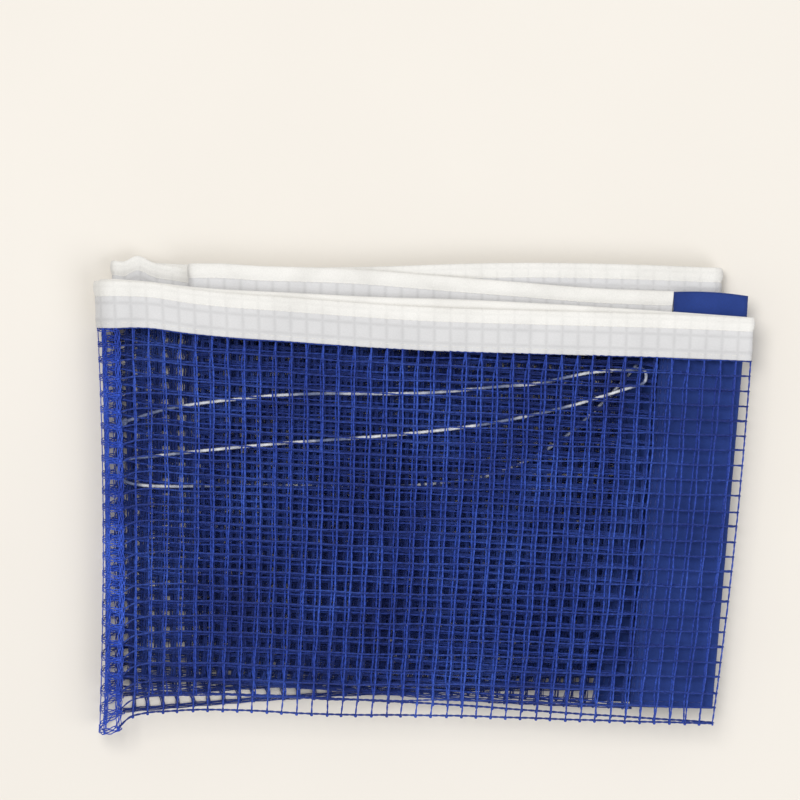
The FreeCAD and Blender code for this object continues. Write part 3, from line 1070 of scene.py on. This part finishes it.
def pocket_section(inner, outer, base, sway):
    """The closed outline of the pocket's cloth at one height, outer face then inner face."""
    profile = np.array(POCKET)
    x = inner[0] + (outer[0] - inner[0]) * profile[:, 0]
    y = inner[1] + (outer[1] - inner[1]) * profile[:, 0]
    z = base + profile[:, 1] + sway * np.sin(np.pi * profile[:, 0])
    face = np.stack([x, y, z], axis=-1)
    along = unit(np.gradient(np.stack([x, z], axis=-1), axis=0))
    inward = np.stack([-along[:, 1], 0 * x, along[:, 0]], axis=-1)
    return np.concatenate([face, (face + inward * CLOTH)[::-1]])


def plate(build, corners, z, thickness, steps, arch):
    """A thin cloth plate over four corners, from its top left round, its top edge arched."""
    a, b, c, d = (np.array(corner) for corner in corners)
    u = np.linspace(0, 1, steps)[None, :, None]
    v = np.linspace(0, 1, steps)[:, None, None]
    flat = (a * (1 - u) + b * u) * (1 - v) + (d * (1 - u) + c * u) * v
    flat = flat + np.concatenate([0 * u * v, arch * 4 * u * (1 - u) * (1 - v)], axis=-1)
    wave = 0.04 * np.sin(5 * u[..., 0] + 2 * v[..., 0])
    for_face = [
        np.concatenate([flat, (z + side * thickness / 2 + wave)[..., None]], axis=-1)
        for side in (1, -1)
    ]
    count = steps * steps
    quads = grid_faces(steps, steps)
    rim = np.concatenate([
        np.arange(steps),
        np.arange(1, steps) * steps + steps - 1,
        (steps - 1) * steps + np.arange(steps - 2, -1, -1),
        np.arange(steps - 2, 0, -1) * steps,
    ])
    after = np.roll(rim, -1)
    sides = np.stack([rim, after, after + count, rim + count], axis=-1)
    points = np.concatenate([face.reshape(-1, 3) for face in for_face])
    build.add(points, [quads[:, ::-1], quads + count, sides], points[:, :2])


def sleeve(name, layer, shift, tab_on_top):
    """An end sleeve in a layer: a flat pocket with a tab of the same cloth over its top."""
    base = BASE[layer]
    move = np.array(shift)
    steps = 60
    build = Build()
    sections = []
    for share in np.linspace(0, 1, steps):
        inner = np.array(SLEEVE_INNER[0]) * (1 - share) + np.array(SLEEVE_INNER[1]) * share + move
        outer = np.array(SLEEVE_OUTER[0]) * (1 - share) + np.array(SLEEVE_OUTER[1]) * share + move
        sway = 0.05 * math.sin(9 * share + layer)
        sections.append(pocket_section(inner, outer, base, sway))
    sections = np.array(sections)
    around = sections.shape[1]
    half = around // 2
    i = np.arange(half - 1)
    cap = np.stack([i, i + 1, around - 2 - i, around - 1 - i], axis=-1)
    faces = [grid_faces(steps, around, closed=True), cap, (cap + (steps - 1) * around)[:, ::-1]]
    uv = np.stack([sections[..., 0] + sections[..., 2], sections[..., 1]], axis=-1)
    build.add(sections, faces, uv)
    tab_z = base + (1.56 if tab_on_top else 0.14)
    plate(build, [tuple(np.array(c) + move) for c in TAB_CORNERS], tab_z, CLOTH, 14, TAB_ARCH)
    piece = build.make(f"sleeve_{name}_cloth", [SLEEVE])
    put(piece, layer, [f"sleeve_{name}_upper_wall", f"sleeve_{name}_lower_wall"])
    sleeve_stitches(name, layer, move)


def sleeve_stitches(name, layer, move):
    """Two rows of stitches down the sewn edge and one across each end, on both faces."""
    inner = [np.array(corner) + move for corner in SLEEVE_INNER]
    outer = [np.array(corner) + move for corner in SLEEVE_OUTER]
    rows = []
    for offset in (1.3, 3.0):
        rows.append((inner[0] + (offset, -1.5), inner[1] + (offset, 1.5)))
    for end, lift in ((0, -2.2), (1, 2.2)):
        rows.append((inner[end] + (1.5, lift), outer[end] + (-1.5, lift)))
    build = Build()
    for start, end in rows:
        length = np.linalg.norm(end - start)
        starts = np.arange(int(length / STITCH_PITCH))[:, None] * STITCH_PITCH
        places = (starts + STITCH_SHARE[None, :] * STITCH_LENGTH) / length
        flat = start + (end - start) * places[..., None]
        for face, level in ((1.0, 1.58), (-1.0, 0.12)):
            z = BASE[layer] + level + face * (STITCH_ARCH * 0.16 - 0.1)
            z = np.broadcast_to(z, places.shape)
            lines = np.concatenate([flat, z[..., None]], axis=-1)
            up = np.broadcast_to([0.0, 0.0, 1.0], lines.shape)
            add_tubes(build, lines, up, STITCH_R, 5)
    piece = build.make(f"sleeve_{name}_stitches", [BLUE_THREAD])
    put(piece, layer, [f"sleeve_{name}_seam"])


# ---------------------------------------------------------------- floor, light, camera

CAMERA_HEIGHT = 1.5         # metres above the net's top
VIEW_WIDTH = 0.2899         # metres of the net's plane across the picture
VIEW_MIDDLE = (-8.7, 34.6)  # millimetres, in the strip's own frame


def stage():
    mesh = bpy.data.meshes.new("floor")
    size = 3.0
    corners = [(-size, -size, 0), (size, -size, 0), (size, size, 0), (-size, size, 0)]
    mesh.from_pydata(corners, [], [(0, 1, 2, 3)])
    mesh.materials.append(floor_material())
    show("floor", mesh)


def light(name, place, size, power, colour):
    data = bpy.data.lights.new(name, "AREA")
    data.shape = "DISK"
    data.size = size
    data.energy = power
    data.color = colour
    lamp = show(name, data)
    lamp.location = place
    lamp.rotation_euler = Vector(-np.array(place)).to_track_quat("-Z", "Y").to_euler()


def studio():
    world = bpy.data.worlds.new("studio")
    bpy.context.scene.world = world
    world.use_nodes = True
    background = world.node_tree.nodes["Background"]
    background.inputs["Color"].default_value = (1.0, 1.0, 1.0, 1.0)
    background.inputs["Strength"].default_value = 0.50
    light("key", (-0.35, 0.45, 1.6), 0.9, 17.5, (1.0, 0.98, 0.95))
    light("fill", (0.9, -0.6, 1.3), 1.2, 10.0, (0.97, 0.98, 1.0))


def camera():
    data = bpy.data.cameras.new("camera")
    data.sensor_width = 36.0
    data.lens = 36.0 * CAMERA_HEIGHT / VIEW_WIDTH
    view = show("camera", data)
    top = CAD_BOX[1][2]
    middle = (np.array(VIEW_MIDDLE) + SHIFT[:2]) * MM
    view.location = (middle[0], middle[1], top + CAMERA_HEIGHT)
    bpy.context.scene.camera = view


# ---------------------------------------------------------------- making it all

camera()
studio()
stage()
bpy.context.scene.view_settings.view_transform = "Standard"
cord_tail()
channel_cord()
for group in NET_GROUPS:
    net_group(*group)
for group in TAPE_GROUPS:
    tape_group(*group)
tape_stitches()
sleeve("a", 3, (0.0, 0.0), True)
sleeve("b", 5, SLEEVE_B_SHIFT, False)
